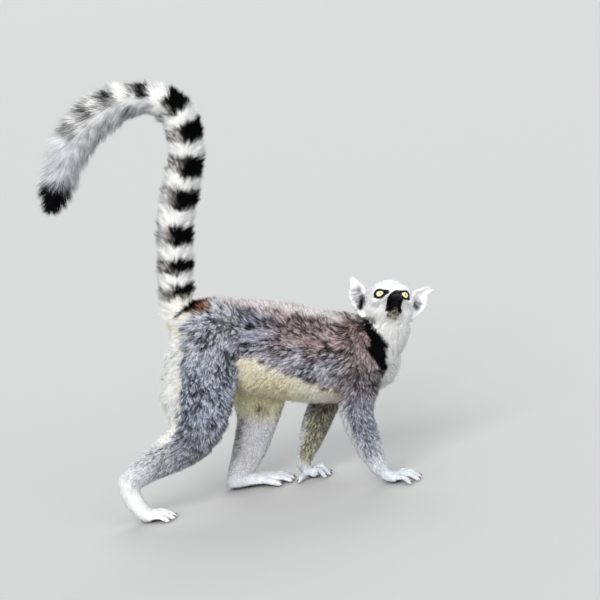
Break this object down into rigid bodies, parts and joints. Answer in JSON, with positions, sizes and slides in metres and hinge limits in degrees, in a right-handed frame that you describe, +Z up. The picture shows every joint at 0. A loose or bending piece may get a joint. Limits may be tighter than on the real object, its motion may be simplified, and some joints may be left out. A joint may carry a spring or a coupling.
{
  "type": "ring-tailed lemur",
  "caption": "Life-size ring-tailed lemur standing on all fours in mid-stride, head raised and turned to its right, long banded tail held up and curled back.",
  "frame": {"origin": "floor level under the middle of the whole animal's box", "axes": "+X towards the animal's front, +Y to its left, +Z up"},
  "size_m": [0.5421, 0.1648, 0.6389],
  "materials": {
    "coat_trunk": "dense woolly fur, matt, brown-grey over the back and blue-grey on the flanks",
    "coat_throat": "dense soft fur, matt, white throat and chest behind a black band",
    "coat_head": "short dense fur, matt, white face with black eye patches",
    "coat_ear": "thin skin with long white fringe fur, grey inside",
    "coat_tail": "long bushy fur, matt, in black and white rings",
    "coat_limb": "dense fur, matt, blue-grey with white rear fringe",
    "coat_paw": "very short white fur over dark bare soles, with dark nails",
    "nose_skin": "bare black skin, finely pebbled, slightly moist",
    "eye": "clear wet cornea over a pale yellow iris with a small dark pupil"
  },
  "bodies": {
    "root": {"ear_left": "coat_ear", "ear_right": "coat_ear", "eye_left": "eye", "eye_right": "eye", "foot_left": "coat_paw", "foot_right": "coat_paw", "foreleg_left": "coat_limb", "foreleg_right": "coat_limb", "hand_left": "coat_paw", "hand_right": "coat_paw", "head": "coat_head", "hind_leg_left": "coat_limb", "hind_leg_right": "coat_limb", "neck": "coat_throat", "nose": "nose_skin", "tail_1": "coat_tail", "tail_2": "coat_tail", "tail_3": "coat_tail", "tail_4": "coat_tail", "tail_5": "coat_tail", "tail_6": "coat_tail", "trunk": "coat_trunk"}
  },
  "joints": []
}
